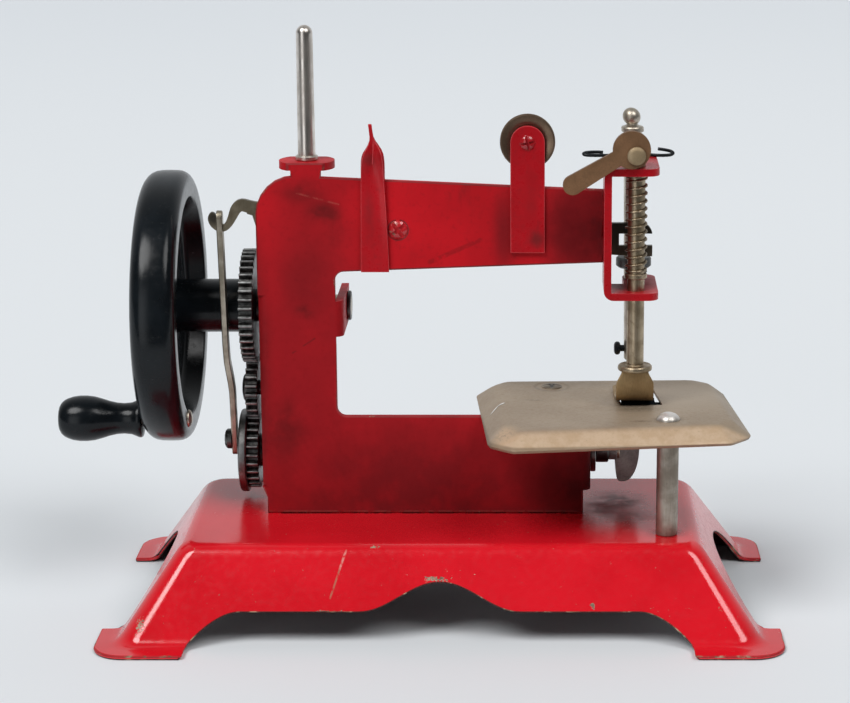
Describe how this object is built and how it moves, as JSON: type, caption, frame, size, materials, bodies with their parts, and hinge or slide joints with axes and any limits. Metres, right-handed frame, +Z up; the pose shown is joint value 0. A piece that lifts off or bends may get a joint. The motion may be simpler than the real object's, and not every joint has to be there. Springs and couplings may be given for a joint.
{
  "type": "toy sewing machine",
  "caption": "Hand-cranked toy sewing machine in stamped red sheet metal, with a dished wheel, open gear train, rocker arm, sprung presser bar, needle bar and raised bed on a post.",
  "frame": {"origin": "on the table under the middle of the machine's whole length, from the knob to the end of the base", "axes": "+X from the wheel to the needle, +Y away from the picture's camera, +Z up"},
  "size_m": [0.1944, 0.1011, 0.1573],
  "materials": {
    "red_paint": "glossy red enamel, worn to bare metal at the edges",
    "dull_nickel": "dull nickel plate",
    "drab_steel": "tarnished olive plate",
    "brown_steel": "brown oxide",
    "old_brass": "tarnished",
    "dark_steel": "dark oiled steel",
    "black_gloss": "glossy black",
    "tan_plate": "matte khaki plate"
  },
  "bodies": {
    "machine": {"base": "red_paint", "frame": "red_paint", "frame_rivets": "red_paint", "spool_pin": "dull_nickel", "thread_guide": "red_paint", "tension_bracket": "red_paint", "tension_rivet": "red_paint", "head_bracket": "red_paint", "thread_wire": "dark_steel", "presser_spring": "dull_nickel", "rocker_pivot": "red_paint", "idler_stud": "dark_steel", "bed_plate": "tan_plate", "bed_rivet": "tan_plate", "bed_post": "dull_nickel", "feed_guide": "dark_steel"},
    "wheel": {"hand_wheel": "black_gloss", "wheel_shaft": "dull_nickel", "shaft_clip": "dark_steel", "drive_gear": "dark_steel", "knob_stud": "dull_nickel"},
    "knob": {"crank_knob": "black_gloss"},
    "idler": {"idler_gear": "dark_steel"},
    "lower_shaft": {"lower_shaft": "dull_nickel", "crank_gear": "dark_steel", "crank_disc": "dark_steel", "thrust_washer": "dull_nickel", "feed_cam": "dark_steel", "looper": "dull_nickel"},
    "rocker": {"rocker": "drab_steel"},
    "link": {"drive_link": "drab_steel", "link_pin": "dark_steel"},
    "needle_bar": {"needle_bar": "dull_nickel", "needle_collar": "dark_steel", "needle": "dull_nickel", "drive_pin": "dark_steel"},
    "needle_screw": {"needle_screw": "dark_steel"},
    "presser_bar": {"presser_bar": "dull_nickel", "presser_foot": "drab_steel", "lifter_pin": "brown_steel"},
    "lifter": {"lifter_lever": "brown_steel"},
    "front_disc": {"front_tension_disc": "old_brass"},
    "rear_disc": {"rear_tension_disc": "old_brass"},
    "feed_dog": {"feed_dog": "dark_steel"}
  },
  "joints": [
    {"name": "wheel_spin", "type": "hinge", "parent": "machine", "child": "wheel", "pos_m": [-0.0421, 0.0138, 0.07925], "axis": [1, 0, 0], "continuous": true},
    {"name": "knob_spin", "type": "hinge", "parent": "wheel", "child": "knob", "pos_m": [-0.0858, 0.00006, 0.05087], "axis": [1, 0, 0], "continuous": true},
    {"name": "idler_spin", "type": "hinge", "parent": "machine", "child": "idler", "pos_m": [-0.0451, 0.0138, 0.056], "axis": [1, 0, 0], "continuous": true},
    {"name": "lower_spin", "type": "hinge", "parent": "machine", "child": "lower_shaft", "pos_m": [-0.0421, 0.0138, 0.038], "axis": [1, 0, 0], "continuous": true},
    {"name": "rocker_swing", "type": "hinge", "parent": "machine", "child": "rocker", "pos_m": [-0.0043, 0.0003, 0.1036], "axis": [0, -1, 0], "range_deg": [-1.5, 12]},
    {"name": "link_swing", "type": "hinge", "parent": "rocker", "child": "link", "pos_m": [-0.052, 0.0003, 0.104], "axis": [0, -1, 0], "range_deg": [-13.1, 1.8]},
    {"name": "needle_slide", "type": "slide", "parent": "machine", "child": "needle_bar", "axis": [0, 0, 1], "range_m": [-0.0017, 0.0133]},
    {"name": "needle_screw_turn", "type": "hinge", "parent": "needle_bar", "child": "needle_screw", "pos_m": [0.0563, 0.0063, 0.069], "axis": [1, 0, 0], "continuous": true},
    {"name": "presser_slide", "type": "slide", "parent": "machine", "child": "presser_bar", "axis": [0, 0, 1], "range_m": [0, 0.00226], "deforming": ["presser_spring"]},
    {"name": "lifter_swing", "type": "hinge", "parent": "presser_bar", "child": "lifter", "pos_m": [0.0587, -0.014, 0.12565], "axis": [0, 1, 0], "range_deg": [-3, 134]},
    {"name": "front_disc_turn", "type": "hinge", "parent": "machine", "child": "front_disc", "pos_m": [0.0301, -0.00255, 0.12705], "axis": [0, 1, 0], "continuous": true},
    {"name": "rear_disc_turn", "type": "hinge", "parent": "machine", "child": "rear_disc", "pos_m": [0.0301, -0.0012, 0.12705], "axis": [0, 1, 0], "continuous": true},
    {"name": "feed_slide", "type": "slide", "parent": "machine", "child": "feed_dog", "axis": [0, 1, 0], "range_m": [-0.001, 0.001]}
  ],
  "couplings": [
    {"joint": "idler_spin", "follows": "wheel_spin", "ratio": -1.8182},
    {"joint": "lower_spin", "follows": "wheel_spin", "ratio": 1.5385},
    {"joint": "link_swing", "follows": "rocker_swing", "ratio": -1.08},
    {"joint": "needle_slide", "follows": "rocker_swing", "m_per_rad": 0.063},
    {"joint": "lifter_swing", "follows": "presser_slide", "rad_per_m": 1030}
  ]
}
